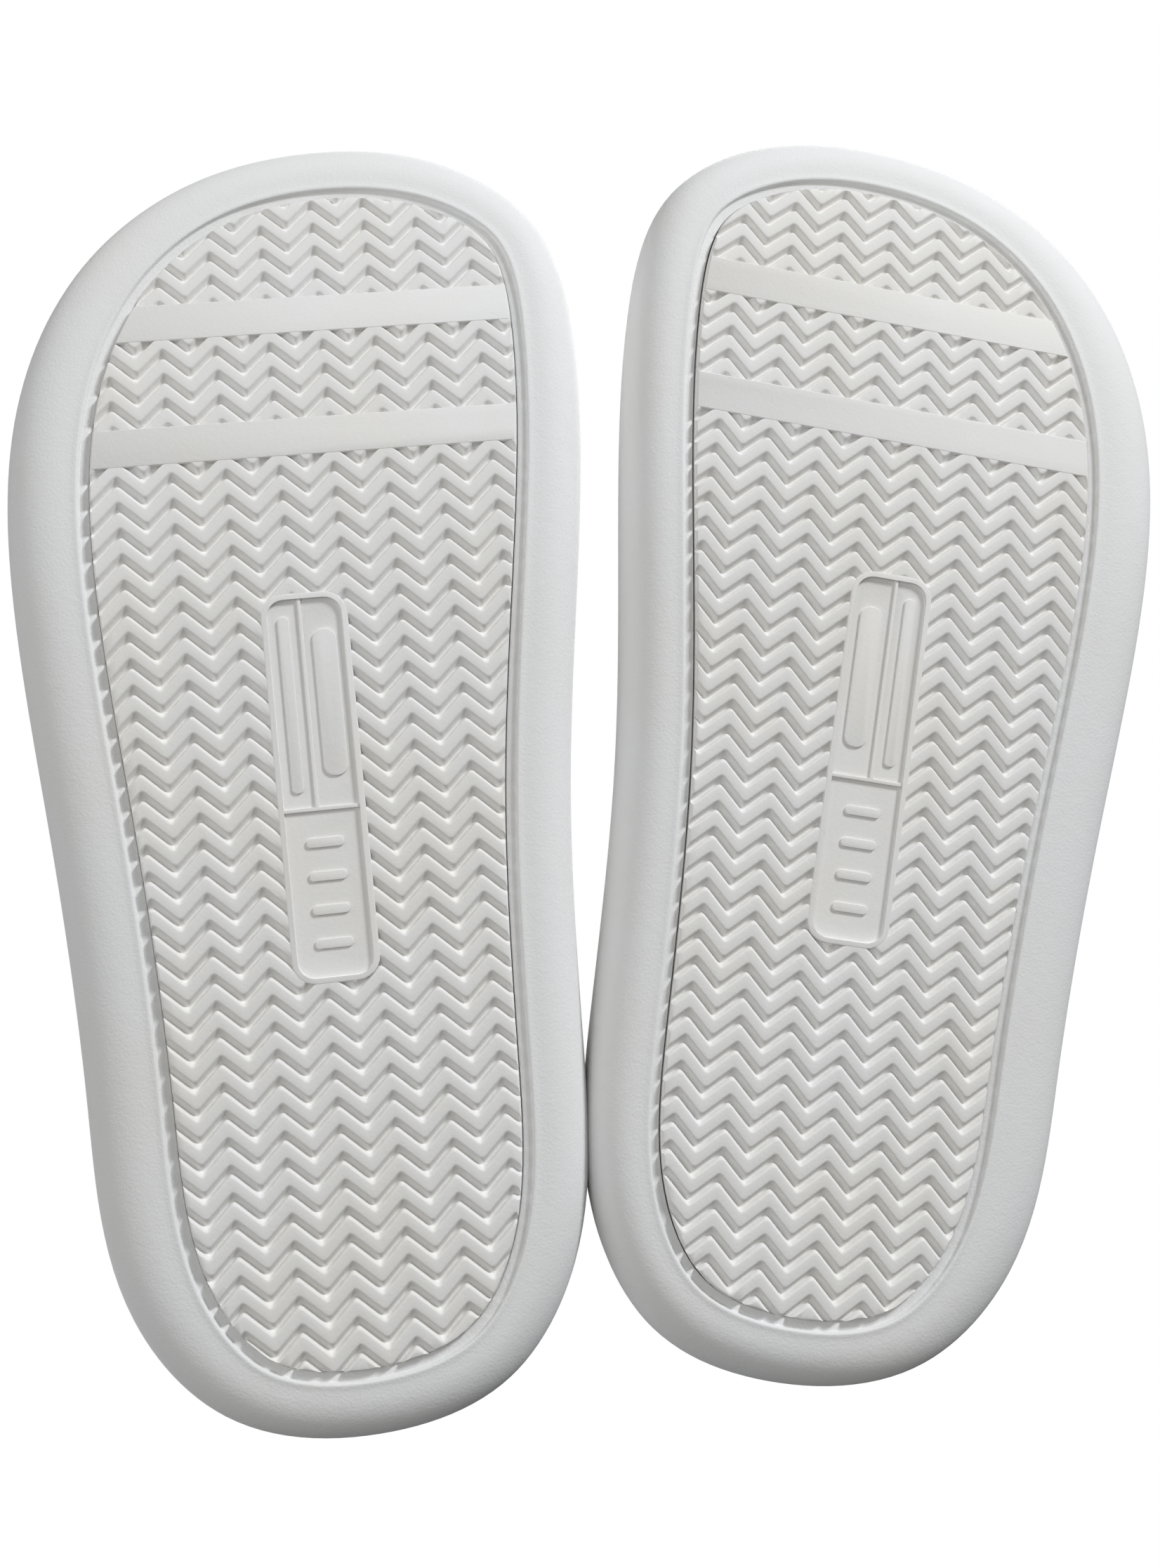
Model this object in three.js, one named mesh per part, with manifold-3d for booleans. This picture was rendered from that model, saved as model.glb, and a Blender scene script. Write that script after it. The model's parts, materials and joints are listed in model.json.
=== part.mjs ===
// A pair of foam slide slippers, standing side by side on their soles.
// Millimetres, +Z up, toes towards -Y. The left foot's slipper is at +X.
//
// Each slipper is drawn once for the left foot, in its own frame: x runs to the outer side,
// y is minus the distance from the heel, and z starts at the ground. The right foot's
// slipper is the mirror image of it.

import * as THREE from 'three';
import { ParametricGeometry } from 'three/addons/geometries/ParametricGeometry.js';
import { mergeVertices } from 'three/addons/utils/BufferGeometryUtils.js';
import Module from 'manifold-3d';

const wasm = await Module();
wasm.setup();

// Overall sizes.
const LENGTH = 306;
const WIDTH = 137;
const CLEARANCE = 0.3;
const SEAT_CLEARANCE = 0.5;
const BED_CLEARANCE = 0.9;
const LINING_CLEARANCE = 0.8;

// Sole heights, measured at the heel from the ground up.
const GROOVE_DEPTH = 2;
const TREAD_THICKNESS = 4.7;
const RIB_ROOT = (GROOVE_DEPTH + TREAD_THICKNESS) / 2;
const RIM_UNDERSIDE = 0.8;
const FOOTBED_UNDERSIDE = 18;
const FOOTBED_MIDDLE = 27;
const FOOTBED_FLAT = FOOTBED_MIDDLE + 2;
const RIM_CREST = 38;
const FOOTBED_EDGE = RIM_CREST - 3;
const STRAP_SEAT = 30;
const BULGE_HEIGHT = 14;

// The sole thins towards the toe, and its toe end curls up.
const THINNING = 0.2;
const THINNING_FROM = 0.3 * LENGTH;
const THINNING_TO = 0.8 * LENGTH;
const UNTHINNED_HEIGHT = 10;
const SPRING_FROM = 0.6 * LENGTH;
const SPRING_SLOPE = 0.21;

// The foam rim around the tread panel and around the footbed.
const RIM_HEEL = 17.7;
const RIM_TOE = 18;
const RIM_OUTER_SIDE = 21;
const RIM_INNER_SIDE = 16.2;
const CHANNEL_WIDTH = 2.6;
const EDGE_ROUNDING = 9;
const SMALL_ROUNDING = 1;
const FOOTBED_SLOPE = 14;

// The tread's zig-zag ribs, drawn coarser than moulded ones to keep the solid light.
const RIB_PITCH = 15;
const RIB_WIDTH = 10;
const RIB_WAVE = 30;
const RIB_SWING = 11;

// Smooth parts of the tread.
const BAND_WIDTH = 9;
const BAND_SPACING = 30;
const BAND_MARGIN = 1.6;
const PLATE_LENGTH = 86;
const PLATE_WIDTH = 17;
const PLATE_CORNER = 4;
const PLATE_MIDDLE = 0.48 * LENGTH;
const PLATE_RECESS = 0.9;
const BAR_WIDTH = 1.6;

// The line where the sole bends under the ball of the foot.
const FLEX_LINE = 0.745 * LENGTH;
const FLEX_GAP = 0.5;

// The strap.
const STRAP_LENGTH = 90;
const STRAP_TO_FLEX = 15;
const STRAP_THICKNESS = 10;
const STRAP_TOP = 96;
const STRAP_ROUNDING = 3;
const STRAP_STEPS = 4;
const STRAP_SEGMENTS = 16;
const STRAP_INSET = 2;
const STRAP_TO_FOOTBED = 2.5;
const FOOTBED_INSET = STRAP_INSET + STRAP_THICKNESS + STRAP_TO_FOOTBED;
const LINING_THICKNESS = 3;
const LINING_SETBACK = 4;
const LINING_FOOT = RIM_CREST + 1;

// The pair on the floor.
const LEFT_TOE_OUT = 8.5;
const RIGHT_TOE_OUT = 6;
const HEEL_SPACING = 0.695 * WIDTH;
const STAGGER = 8.2;

const OUTLINE_STEPS = 2;
const EDGE_STEPS = 3;
const FAR = 2 * LENGTH;

const FOAM_COLOUR = 0xe9ebec;
const TREAD_COLOUR = 0xe6e5e0;
const LINING_COLOUR = 0xe3e4e4;

// The widest contour of the sole, from the heel along the outer side to the toe and back:
// how far along the length, then how far to the side as a share of the width.
const OUTLINE = [
  [0, -0.015], [0.028, 0.234], [0.105, 0.368], [0.261, 0.414], [0.458, 0.438],
  [0.654, 0.469], [0.794, 0.442], [0.908, 0.321], [0.977, 0.124], [1, -0.099],
  [0.984, -0.328], [0.925, -0.489], [0.817, -0.533], [0.654, -0.499], [0.458, -0.439],
  [0.261, -0.416], [0.105, -0.364], [0.028, -0.238],
];
const outlineCurve = new THREE.CatmullRomCurve3(
  OUTLINE.map(([along, side]) => new THREE.Vector3(side * WIDTH, along * LENGTH, 0)),
  true,
);
const OUTLINE_COUNT = OUTLINE.length * OUTLINE_STEPS;

// Height of the underside above the ground, at a distance from the heel.
function toeLift(along) {
  const past = Math.max(0, along - SPRING_FROM);
  return (SPRING_SLOPE * past * past) / (2 * (LENGTH - SPRING_FROM));
}

// Height of a point of the sole after thinning and toe spring.
function settledHeight(along, height) {
  const thinned = 1 - THINNING * THREE.MathUtils.smoothstep(along, THINNING_FROM, THINNING_TO);
  const above = Math.max(0, height - UNTHINNED_HEIGHT);
  return Math.min(height, UNTHINNED_HEIGHT) + above * thinned + toeLift(along);
}

// Bends a shape drawn flat, so that it follows the sole.
function settle(geometry) {
  const position = geometry.attributes.position;
  for (let i = 0; i < position.count; i += 1) {
    position.setZ(i, settledHeight(-position.getY(i), position.getZ(i)));
  }
  return geometry;
}

// A geometry with shared corners and no empty triangles.
function closed(geometry) {
  const bare = geometry.clone();
  bare.deleteAttribute('normal');
  bare.deleteAttribute('uv');
  const merged = mergeVertices(bare, 1e-3);
  const corners = merged.index.array;
  const kept = [];
  for (let i = 0; i < corners.length; i += 3) {
    const [a, b, c] = corners.slice(i, i + 3);
    if (a !== b && b !== c && c !== a) kept.push(a, b, c);
  }
  merged.setIndex(kept);
  return merged;
}

function toSolid(geometry) {
  const body = closed(geometry);
  return new wasm.Manifold(new wasm.Mesh({
    numProp: 3,
    vertProperties: new Float32Array(body.attributes.position.array),
    triVerts: new Uint32Array(body.index.array),
  }));
}

function toGeometry(solid) {
  const mesh = solid.getMesh();
  const geometry = new THREE.BufferGeometry();
  geometry.setAttribute('position', new THREE.BufferAttribute(mesh.vertProperties, 3));
  geometry.setIndex(new THREE.BufferAttribute(mesh.triVerts, 1));
  return geometry;
}

// A point of the outline moved inwards, at right angles to the outline.
function insetPoint(share, inset) {
  const point = outlineCurve.getPoint(share % 1);
  const tangent = outlineCurve.getTangent(share % 1);
  return new THREE.Vector2(point.x - tangent.y * inset, point.y + tangent.x * inset);
}

// Width of the foam rim at a point of the outline, from the way that the outline faces.
function rimWidth(share) {
  const tangent = outlineCurve.getTangent(share % 1);
  const sideways = tangent.y > 0 ? RIM_OUTER_SIDE : RIM_INNER_SIDE;
  const lengthways = tangent.x > 0 ? RIM_HEEL : RIM_TOE;
  return sideways * tangent.y ** 2 + lengthways * tangent.x ** 2;
}

// Rings for ringBody: a contour at a distance inside the outline, or outside the panel's
// edge, or a share of the way from the middle of the sole to another contour.
const middle = new THREE.Vector2(0, LENGTH / 2);
const inset = (distance, z) => ({ at: (share) => insetPoint(share, distance), z });
const panel = (outwards, z) => ({ at: (share) => insetPoint(share, rimWidth(share) - outwards), z });
const towards = (ring, part, z = ring.z) => ({
  at: (share) => middle.clone().lerp(ring.at(share), part),
  z,
});

// A closed body through a list of rings, given from the middle of its underside, outwards
// and up, to the middle of its top.
function ringBody(rings) {
  const point = (across, around, target) => {
    const ring = rings[Math.round(across * (rings.length - 1))];
    const { x, y } = ring.at(around);
    target.set(x, -y, ring.z);
  };
  return settle(new ParametricGeometry(point, rings.length - 1, OUTLINE_COUNT));
}

// Rings over a flat or dished face, from its middle to its edge.
function faceRings(edge, middleHeight = edge.z) {
  return [0, 0.4, 0.75].map((part) => (
    towards(edge, part, THREE.MathUtils.lerp(middleHeight, edge.z, part ** 3))
  ));
}

// Rings around the rim's outer edge: a quarter of an ellipse out to the bulge, then another
// back in to the crest.
function edgeRings() {
  const rings = [];
  for (let step = -EDGE_STEPS; step <= EDGE_STEPS; step += 1) {
    const angle = (Math.PI / 2) * (step / EDGE_STEPS);
    const reach = step < 0 ? BULGE_HEIGHT - RIM_UNDERSIDE : RIM_CREST - BULGE_HEIGHT;
    const height = BULGE_HEIGHT + reach * Math.sin(angle);
    rings.push(inset(EDGE_ROUNDING * (1 - Math.cos(angle)), height));
  }
  return rings;
}

function midsoleBody() {
  const ceiling = panel(CHANNEL_WIDTH, TREAD_THICKNESS + SEAT_CLEARANCE);
  const bed = inset(FOOTBED_INSET, FOOTBED_UNDERSIDE);
  return toSolid(ringBody([
    ...faceRings(ceiling),
    ceiling,
    panel(CHANNEL_WIDTH, RIM_UNDERSIDE + SMALL_ROUNDING),
    panel(CHANNEL_WIDTH + SMALL_ROUNDING, RIM_UNDERSIDE),
    ...edgeRings(),
    inset(FOOTBED_INSET - SMALL_ROUNDING, RIM_CREST - SMALL_ROUNDING),
    inset(FOOTBED_INSET, RIM_CREST - 3 * SMALL_ROUNDING),
    bed,
    ...faceRings(bed).reverse(),
  ]));
}

// A dished bed: its top falls from the edge in a parabola, then runs on nearly flat.
function footbedBody() {
  const wall = FOOTBED_INSET + SEAT_CLEARANCE;
  const underside = inset(wall, FOOTBED_UNDERSIDE + BED_CLEARANCE);
  const slope = [0, 0.4, 1].map((part) => inset(
    wall + SMALL_ROUNDING + part * FOOTBED_SLOPE,
    THREE.MathUtils.lerp(FOOTBED_FLAT, FOOTBED_EDGE, (1 - part) ** 2),
  ));
  return toSolid(ringBody([
    ...faceRings(underside),
    underside,
    inset(wall, FOOTBED_EDGE - SMALL_ROUNDING),
    ...slope,
    ...faceRings(slope.at(-1), FOOTBED_MIDDLE).reverse(),
  ]));
}

// A flat shape in the ground plane, given upwards from one height to another.
function slab(shape, low, high) {
  const geometry = new THREE.ExtrudeGeometry(shape, { depth: high - low, bevelEnabled: false });
  return geometry.translate(0, 0, low);
}

// The outline of a straight strip across the sole.
function stripAcross(along, width) {
  const back = -(along - width / 2);
  const front = -(along + width / 2);
  return new THREE.Shape([
    new THREE.Vector2(-WIDTH, front),
    new THREE.Vector2(WIDTH, front),
    new THREE.Vector2(WIDTH, back),
    new THREE.Vector2(-WIDTH, back),
  ]);
}

function roundedRectangle(along, width, length, radius) {
  const [w, l] = [width / 2 - radius, length / 2 - radius];
  const shape = new THREE.Shape();
  shape.absarc(w, -along + l, radius, 0, Math.PI / 2);
  shape.absarc(-w, -along + l, radius, Math.PI / 2, Math.PI);
  shape.absarc(-w, -along - l, radius, Math.PI, 1.5 * Math.PI);
  shape.absarc(w, -along - l, radius, 1.5 * Math.PI, 2 * Math.PI);
  return shape;
}

// One zig-zag rib across the whole sole.
function ribShape(along) {
  const turns = Math.ceil(WIDTH / RIB_WAVE) + 1;
  const path = [];
  for (let i = -turns; i <= turns; i += 1) {
    const swing = i % 2 === 0 ? RIB_SWING / 2 : -RIB_SWING / 2;
    path.push([(i * RIB_WAVE) / 2, -along - swing]);
  }
  const front = path.map(([x, y]) => new THREE.Vector2(x, y - RIB_WIDTH / 2));
  const back = path.map(([x, y]) => new THREE.Vector2(x, y + RIB_WIDTH / 2)).reverse();
  return new THREE.Shape([...front, ...back]);
}

function ribs() {
  const rows = Math.floor(LENGTH / RIB_PITCH);
  let all = null;
  for (let row = 0; row <= rows; row += 1) {
    const rib = toSolid(settle(slab(ribShape(row * RIB_PITCH), 0, RIB_ROOT)));
    all = all ? all.add(rib) : rib;
  }
  return all;
}

// Two smooth bands, the rear one along the flex line.
function bands(grow) {
  const places = [FLEX_LINE, FLEX_LINE + BAND_SPACING];
  const spare = grow > 0 ? 1 : 0;
  const solids = places.map((along) => {
    const strip = slab(stripAcross(along, BAND_WIDTH + 2 * grow), -spare, RIB_ROOT + spare);
    return toSolid(settle(strip));
  });
  return solids[0].add(solids[1]);
}

// A plain plate with three raised bars, where such soles carry their size.
function sizePlate() {
  const outline = roundedRectangle(PLATE_MIDDLE, PLATE_WIDTH, PLATE_LENGTH, PLATE_CORNER);
  let plate = toSolid(slab(outline, PLATE_RECESS, RIB_ROOT));
  for (const place of [-0.25, 0, 0.25]) {
    const along = PLATE_MIDDLE + place * PLATE_LENGTH;
    const bar = roundedRectangle(along, PLATE_WIDTH - 2 * PLATE_CORNER, BAR_WIDTH, BAR_WIDTH / 2);
    plate = plate.add(toSolid(slab(bar, CLEARANCE, RIB_ROOT)));
  }
  return plate;
}

function plateOpening() {
  const width = PLATE_WIDTH + 2 * BAND_MARGIN;
  const length = PLATE_LENGTH + 2 * BAND_MARGIN;
  const outline = roundedRectangle(PLATE_MIDDLE, width, length, PLATE_CORNER + BAND_MARGIN);
  return toSolid(slab(outline, -1, RIB_ROOT + 1));
}

function treadBody() {
  const floor = panel(0, GROOVE_DEPTH);
  const back = panel(0, TREAD_THICKNESS);
  const base = toSolid(ringBody([...faceRings(floor), floor, back, ...faceRings(back).reverse()]));
  const foot = panel(0, -1);
  const head = panel(0, RIB_ROOT + 0.5);
  const edge = toSolid(ringBody([...faceRings(foot), foot, head, ...faceRings(head).reverse()]));
  const pattern = ribs()
    .subtract(bands(BAND_MARGIN))
    .subtract(plateOpening())
    .add(bands(0))
    .add(sizePlate())
    .intersect(edge);
  return base.add(pattern);
}

// Half-width of the sole at a distance from the heel, on the outer side or the inner side.
function halfWidth(along, side) {
  const shareAt = (i) => (side > 0 ? i / OUTLINE_COUNT : 1 - i / OUTLINE_COUNT);
  let i = 1;
  while (insetPoint(shareAt(i), 0).y < along) i += 1;
  const before = insetPoint(shareAt(i - 1), 0);
  const after = insetPoint(shareAt(i), 0);
  return Math.abs(THREE.MathUtils.mapLinear(along, before.y, after.y, before.x, after.x));
}

// Points over an arch across the sole: half an ellipse that stands at the strap's seat, cut
// short where the arch's feet are higher.
function archPoints(halfSpan, foot, top) {
  const rise = top - STRAP_SEAT;
  const start = Math.asin((foot - STRAP_SEAT) / rise);
  const curve = new THREE.EllipseCurve(0, STRAP_SEAT, halfSpan, rise, start, Math.PI - start);
  return curve.getPoints(STRAP_SEGMENTS);
}

// The section of an arch of a certain thickness, with its feet at a certain height.
function archShape(reach, foot, thickness, top) {
  const outer = archPoints(reach, foot, top);
  const inner = archPoints(reach - thickness, foot, top - thickness);
  return new THREE.Shape([...outer, ...inner.reverse()]);
}

const STRAP_FRONT = FLEX_LINE - STRAP_TO_FLEX;
const STRAP_BACK = STRAP_FRONT - STRAP_LENGTH;
const STRAP_REACH = halfWidth(STRAP_BACK, 1);

// Runs an arch along the strap's length, then spreads it to follow the sole's sides.
function archBody(shape, setback, rounding) {
  const geometry = new THREE.ExtrudeGeometry(shape, {
    depth: STRAP_LENGTH - 2 * setback - 2 * rounding,
    steps: STRAP_STEPS,
    bevelEnabled: rounding > 0,
    bevelThickness: rounding,
    bevelSize: rounding,
    bevelOffset: -rounding,
    bevelSegments: 1,
  });
  geometry.rotateX(Math.PI / 2);
  geometry.translate(0, -(STRAP_BACK + setback + rounding), 0);
  const position = geometry.attributes.position;
  for (let i = 0; i < position.count; i += 1) {
    const x = position.getX(i);
    const spread = halfWidth(-position.getY(i), Math.sign(x)) - STRAP_REACH;
    position.setX(i, x + (spread * x) / STRAP_REACH);
  }
  return settle(geometry);
}

function strapBody() {
  const reach = STRAP_REACH - STRAP_INSET;
  return toSolid(archBody(
    archShape(reach, STRAP_SEAT + CLEARANCE, STRAP_THICKNESS, STRAP_TOP),
    0,
    STRAP_ROUNDING,
  ));
}

function liningBody() {
  const gap = STRAP_THICKNESS + LINING_CLEARANCE;
  const reach = STRAP_REACH - STRAP_INSET - gap;
  return toSolid(archBody(
    archShape(reach, LINING_FOOT, LINING_THICKNESS, STRAP_TOP - gap),
    LINING_SETBACK,
    0,
  ));
}

// What the strap's feet take out of the rim.
function strapNotch() {
  const length = STRAP_LENGTH + 2 * CLEARANCE;
  const box = new THREE.BoxGeometry(2 * WIDTH, length, STRAP_TOP, 1, 2 * STRAP_STEPS, 1);
  box.translate(0, -(STRAP_BACK + STRAP_LENGTH / 2), STRAP_SEAT + STRAP_TOP / 2);
  return toSolid(settle(box));
}

// Everything on one side of the flex line: sign 1 is the toe's side, -1 the heel's.
function flexSide(sign) {
  const box = new THREE.BoxGeometry(FAR, FAR, FAR);
  const offset = FLEX_LINE + sign * (FLEX_GAP / 2 + FAR / 2);
  return toSolid(box.translate(0, -offset, 0));
}

const foam = new THREE.MeshStandardMaterial({ color: FOAM_COLOUR, roughness: 0.62, metalness: 0 });
const tread = new THREE.MeshStandardMaterial({ color: TREAD_COLOUR, roughness: 0.7, metalness: 0 });
const lining = new THREE.MeshStandardMaterial({ color: LINING_COLOUR, roughness: 0.8, metalness: 0 });

// Every piece of one slipper, for the left foot.
function slipperPieces() {
  const heelSide = flexSide(-1);
  const toeSide = flexSide(1);
  const treadWhole = treadBody();
  const midsoleWhole = midsoleBody().subtract(strapNotch());
  const footbedWhole = footbedBody();
  return [
    ['tread_rear', treadWhole.intersect(heelSide), tread],
    ['tread_toe', treadWhole.intersect(toeSide), tread],
    ['midsole_rear', midsoleWhole.intersect(heelSide), foam],
    ['midsole_toe', midsoleWhole.intersect(toeSide), foam],
    ['footbed_rear', footbedWhole.intersect(heelSide), foam],
    ['footbed_toe', footbedWhole.intersect(toeSide), foam],
    ['strap', strapBody(), foam],
    ['strap_lining', liningBody(), lining],
  ].map(([name, solid, material]) => ({ name, geometry: toGeometry(solid), material }));
}

// The mirror image of a geometry, with its faces still outwards.
function mirrored(geometry) {
  const copy = geometry.clone().scale(-1, 1, 1);
  const corners = copy.index.array;
  for (let i = 0; i < corners.length; i += 3) {
    [corners[i], corners[i + 1]] = [corners[i + 1], corners[i]];
  }
  return copy;
}

function slipper(pieces, side, heel, toeOut) {
  const group = new THREE.Group();
  for (const { name, geometry, material } of pieces) {
    const shape = side === 'right' ? mirrored(geometry) : geometry;
    const mesh = new THREE.Mesh(shape, material);
    mesh.name = `${side}_${name}`;
    group.add(mesh);
  }
  group.position.set(...heel, 0);
  group.rotation.z = THREE.MathUtils.degToRad(toeOut);
  return group;
}

// The pair, with the middle of its footprint at the origin.
function pair() {
  const pieces = slipperPieces();
  const group = new THREE.Group();
  group.add(slipper(pieces, 'left', [HEEL_SPACING / 2, 0], LEFT_TOE_OUT));
  group.add(slipper(pieces, 'right', [-HEEL_SPACING / 2, STAGGER], -RIGHT_TOE_OUT));
  group.updateMatrixWorld(true);
  const box = new THREE.Box3().setFromObject(group, true);
  const centre = box.getCenter(new THREE.Vector3());
  group.position.set(-centre.x, -centre.y, -box.min.z);
  group.updateMatrixWorld(true);
  return group;
}

export default pair();
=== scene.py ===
"""The looks of a pair of moulded foam slide slippers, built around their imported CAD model."""

import json
import math

import bmesh
import bpy
import numpy as np
from mathutils import Matrix, Vector


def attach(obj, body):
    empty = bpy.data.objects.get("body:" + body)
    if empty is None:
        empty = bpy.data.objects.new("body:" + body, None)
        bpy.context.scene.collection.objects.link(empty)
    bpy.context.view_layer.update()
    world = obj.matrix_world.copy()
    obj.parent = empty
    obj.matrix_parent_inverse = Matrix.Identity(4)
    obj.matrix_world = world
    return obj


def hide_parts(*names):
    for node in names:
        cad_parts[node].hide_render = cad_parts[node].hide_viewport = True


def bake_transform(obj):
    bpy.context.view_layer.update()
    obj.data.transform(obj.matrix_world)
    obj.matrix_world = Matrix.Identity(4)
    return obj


bl_info = {
    "name": "Foam Slides",
    "version": (1, 0, 0),
    "blender": (4, 5, 0),
    "location": "View3D > Sidebar > Slides",
    "description": "Builds the looks of a pair of moulded foam slide slippers",
    "category": "Object",
}

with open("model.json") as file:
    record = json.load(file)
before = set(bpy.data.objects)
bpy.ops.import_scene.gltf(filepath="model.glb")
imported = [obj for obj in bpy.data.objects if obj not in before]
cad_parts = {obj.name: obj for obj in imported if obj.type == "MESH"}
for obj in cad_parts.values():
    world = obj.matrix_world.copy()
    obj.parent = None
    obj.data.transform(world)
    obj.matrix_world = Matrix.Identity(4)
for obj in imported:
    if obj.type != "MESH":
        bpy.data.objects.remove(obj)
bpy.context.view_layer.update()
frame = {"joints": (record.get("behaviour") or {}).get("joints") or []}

MM = 0.001
SIDES = ("left", "right")

# The sole, in millimetres. x runs to the outer side of the foot, y is minus the distance
# from the heel, and z starts at the ground. Heights are those of the sole laid flat.
LENGTH = 306
WIDTH = 137
MIDDLE = (0, LENGTH / 2)
RIM_UNDERSIDE = 0.8
RIM_CREST = 38
CREST_ROUNDING = 9
BULGE_HEIGHT = 14
THINNING = 0.2
THINNING_FROM = 0.3 * LENGTH
THINNING_TO = 0.8 * LENGTH
UNTHINNED_HEIGHT = 10
SPRING_FROM = 0.6 * LENGTH
SPRING_SLOPE = 0.21
FLEX_LINE = 0.745 * LENGTH

# The foam rim around the tread panel and around the footbed.
RIM_HEEL = 17.7
RIM_TOE = 18
RIM_OUTER_SIDE = 21
RIM_INNER_SIDE = 16.2
CHANNEL_WIDTH = 2.6
FLAT_LIP = 3.2
CEILING = 5.2

# The tread panel. Its bands and plate stand a hair proud of the pattern's lands.
TREAD_THICKNESS = 4.7
LAND_HEIGHT = 0.06
FLASH_WIDTH = 0.06
FLASH_REACH = 0.16 * LENGTH
BAND_WIDTH = 9
BAND_SPACING = 30
PLATE_LENGTH = 86
PLATE_WIDTH = 17
PLATE_CORNER = 4
PLATE_BORDER = 1.3
PLATE_MIDDLE = 0.48 * LENGTH
PLATE_SHIFT = -2.5
PLATE_RECESS = 0.9
DIVIDER_LEVEL = 0.3
BAR_LEVEL = 0.45

# Rows of grooves are drawn from this far along the sole to this far past its toe.
TREAD_FROM = 8
TREAD_PAST_TOE = 12

# The footbed.
BED_INSET = 15
BED_UNDERSIDE = 19
BED_GAP = 0.5
BED_EDGE = 35
BED_LIP = 2
BED_SLOPE = 14
BED_FLAT = 29
BED_MIDDLE = 27

# The strap.
STRAP_LENGTH = 90
STRAP_FRONT = FLEX_LINE - 15
STRAP_BACK = STRAP_FRONT - STRAP_LENGTH
STRAP_SEAT = 30
STRAP_TOP = 96
STRAP_INSET = 2
STRAP_FOOT = 26.5
STRAP_CROWN = 1.2
STRAP_EDGE_FULLNESS = 9
STRAP_FACE_FULLNESS = 2.6
LINING_FOOT = 39
LINING_GAP = 0.4
LINING_MARGIN = 4

# The widest contour of the sole, from the heel along the outer side to the toe and back:
# how far along the length, then how far to the side as a share of the width.
OUTLINE = (
    (0, -0.015), (0.028, 0.234), (0.105, 0.368), (0.261, 0.414), (0.458, 0.438),
    (0.654, 0.469), (0.794, 0.442), (0.908, 0.321), (0.977, 0.124), (1, -0.099),
    (0.984, -0.328), (0.925, -0.489), (0.817, -0.533), (0.654, -0.499), (0.458, -0.439),
    (0.261, -0.416), (0.105, -0.364), (0.028, -0.238),
)
POINTS_PER_SPAN = 12


class FoamSettings(bpy.types.PropertyGroup):
    """Colours and finish of the foam."""

    foam_colour: bpy.props.FloatVectorProperty(
        name="Foam", description="Colour of the sole and strap", subtype="COLOR", size=3,
        min=0, max=1, default=(0.80, 0.803, 0.803),
    )
    tread_colour: bpy.props.FloatVectorProperty(
        name="Tread", description="Colour of the tread panel", subtype="COLOR", size=3,
        min=0, max=1, default=(0.80, 0.797, 0.787),
    )
    lining_colour: bpy.props.FloatVectorProperty(
        name="Lining", description="Colour of the strap's lining", subtype="COLOR", size=3,
        min=0, max=1, default=(0.76, 0.765, 0.77),
    )
    roughness: bpy.props.FloatProperty(
        name="Roughness", description="Roughness of the bare foam", subtype="FACTOR",
        min=0, max=1, default=0.78,
    )
    grain: bpy.props.FloatProperty(
        name="Grain", description="Strength of the moulded grain", subtype="FACTOR",
        min=0, max=1, default=0.6,
    )


class TreadSettings(bpy.types.PropertyGroup):
    """Pattern of the tread."""

    row_pitch: bpy.props.FloatProperty(
        name="Row pitch", description="Distance from one groove to the next along the sole",
        unit="LENGTH", default=6.0 * MM,
    )
    column_pitch: bpy.props.FloatProperty(
        name="Column pitch", description="Distance between the columns of grooves",
        unit="LENGTH", default=12.25 * MM,
    )
    groove_depth: bpy.props.FloatProperty(
        name="Groove depth", description="Depth of the grooves", unit="LENGTH",
        default=1.5 * MM,
    )
    lean: bpy.props.FloatProperty(
        name="Lean", description="How far a groove runs along the sole for each step across it",
        default=0.95,
    )


class StrapSettings(bpy.types.PropertyGroup):
    """Sizes of the strap and its lining."""

    thickness: bpy.props.FloatProperty(
        name="Thickness", description="Thickness of the strap", unit="LENGTH", default=10 * MM,
    )
    lining_thickness: bpy.props.FloatProperty(
        name="Lining", description="Thickness of the strap's lining", unit="LENGTH",
        default=3 * MM,
    )
    waist: bpy.props.FloatProperty(
        name="Waist", description="How much narrower each edge of the strap is at the top",
        unit="LENGTH", default=4 * MM,
    )


class StageSettings(bpy.types.PropertyGroup):
    """Floor and light."""

    floor_colour: bpy.props.FloatVectorProperty(
        name="Floor", description="Colour of the floor", subtype="COLOR", size=3,
        min=0, max=1, default=(0.5, 0.5, 0.5),
    )
    fill: bpy.props.FloatProperty(
        name="Fill", description="Strength of the even light from all round", min=0,
        default=0.15,
    )
    key_power: bpy.props.FloatProperty(
        name="Key", description="Power of the main light under the soles", unit="POWER",
        default=28,
    )
    top_power: bpy.props.FloatProperty(
        name="Top", description="Power of the main light above", unit="POWER", default=16,
    )


SETTINGS = (
    ("slides_foam", FoamSettings),
    ("slides_tread", TreadSettings),
    ("slides_strap", StrapSettings),
    ("slides_stage", StageSettings),
)


# ---- The sole's contour ----

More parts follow.
